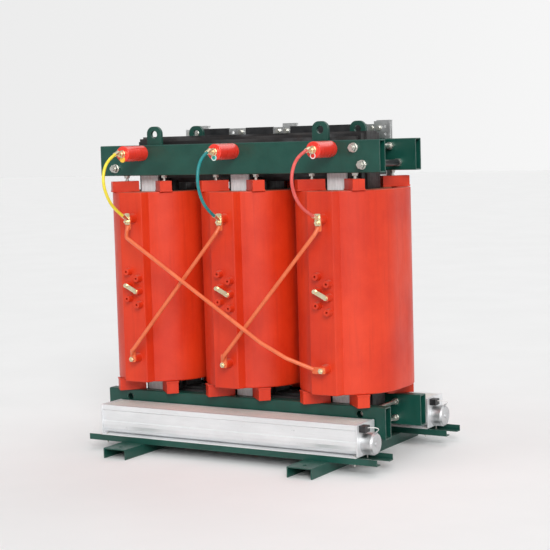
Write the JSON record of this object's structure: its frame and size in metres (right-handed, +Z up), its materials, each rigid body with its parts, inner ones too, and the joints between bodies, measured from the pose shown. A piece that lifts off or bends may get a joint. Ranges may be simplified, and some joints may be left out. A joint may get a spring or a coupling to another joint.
{
  "type": "dry type transformer",
  "caption": "Cast-resin dry type power transformer with upright red windings on a laminated core, green clamps and feet, busbars and cooling fans",
  "frame": {"origin": "bottom centre of the whole outline, on the floor under the core, 20 mm right of the middle limb", "axes": "+X to the viewer's right along the row of windings, -Y towards the high-voltage terminal side, +Z up"},
  "size_m": [1.4, 0.9881, 1.384],
  "materials": {
    "core_steel": "black varnished laminated steel edges, matt",
    "insulation_board": "off-white insulating board over flat steel",
    "green_paint": "dark green satin enamel",
    "zinc_steel": "zinc-plated steel",
    "black_sleeve": "black insulating plastic",
    "coil_resin": "orange-red cast epoxy resin, satin",
    "lv_resin": "cured resin-impregnated winding",
    "insulator_resin": "red cast epoxy resin",
    "terminal_brass": "plain brass",
    "disc_yellow": "yellow plastic",
    "disc_green": "green plastic",
    "disc_red": "red plastic",
    "lead_yellow": "yellow silicone cable sheath",
    "lead_green": "green silicone cable sheath",
    "lead_red": "red silicone cable sheath",
    "bar_sleeve": "orange-red shrink sleeve on copper bar",
    "tinned_bar": "tinned flat bar",
    "fan_sheet": "bare aluminium sheet",
    "fan_mesh": "fine beige outlet grille",
    "impeller_alloy": "bare aluminium",
    "motor_alloy": "cast and turned aluminium",
    "wire_sheath": "white wire sheath"
  },
  "bodies": {
    "transformer": {"bottom_support_blocks": "coil_resin", "core_lower_frame": "core_steel", "core_upper_yoke": "core_steel", "delta_bar_ac": "bar_sleeve", "delta_bar_ba": "bar_sleeve", "delta_bar_cb": "bar_sleeve", "fan_mount_screws": "zinc_steel", "fan_rails": "green_paint", "fan_terminal_boxes": "black_sleeve", "fan_wire_front": "wire_sheath", "fan_wire_rear": "wire_sheath", "foot_left": "green_paint", "foot_right": "green_paint", "front_fan_end_plates": "fan_sheet", "front_fan_housing": "fan_sheet", "front_fan_motor": "motor_alloy", "front_fan_outlet_mesh": "fan_mesh", "hv_coil_a": "coil_resin", "hv_coil_b": "coil_resin", "hv_coil_c": "coil_resin", "hv_lead_a": "lead_yellow", "hv_lead_b": "lead_green", "hv_lead_c": "lead_red", "hv_lead_lugs": "terminal_brass", "hv_terminal_bolts": "terminal_brass", "insulator_terminals": "terminal_brass", "lifting_lugs": "green_paint", "limb_tie_plates": "insulation_board", "lower_clamp_front": "green_paint", "lower_clamp_rear": "green_paint", "lv_bar_bolts": "zinc_steel", "lv_coil_a": "lv_resin", "lv_coil_b": "lv_resin", "lv_coil_c": "lv_resin", "lv_neutral_bar": "tinned_bar", "lv_neutral_risers": "tinned_bar", "lv_phase_risers": "tinned_bar", "neutral_bar_sleeves": "black_sleeve", "neutral_terminal_plate": "tinned_bar", "phase_disc_a": "disc_yellow", "phase_disc_b": "disc_green", "phase_disc_c": "disc_red", "post_insulators": "insulator_resin", "pressing_bolts": "zinc_steel", "rear_fan_end_plates": "fan_sheet", "rear_fan_housing": "fan_sheet", "rear_fan_motor": "motor_alloy", "rear_fan_outlet_mesh": "fan_mesh", "stud_insulating_sleeves": "black_sleeve", "tap_bolts": "terminal_brass", "tap_links": "terminal_brass", "tie_nuts": "zinc_steel", "tie_studs": "zinc_steel", "top_support_blocks": "coil_resin", "upper_clamp_front": "green_paint", "upper_clamp_rear": "green_paint", "yoke_insulation_pads": "insulation_board"},
    "front_rotor": {"front_fan_impeller": "impeller_alloy"},
    "rear_rotor": {"rear_fan_impeller": "impeller_alloy"}
  },
  "joints": [
    {"name": "front_fan_spin", "type": "hinge", "parent": "transformer", "child": "front_rotor", "pos_m": [-0.02, -0.272, 0.118], "axis": [1, 0, 0], "continuous": true},
    {"name": "rear_fan_spin", "type": "hinge", "parent": "transformer", "child": "rear_rotor", "pos_m": [-0.02, 0.372, 0.118], "axis": [1, 0, 0], "continuous": true}
  ]
}
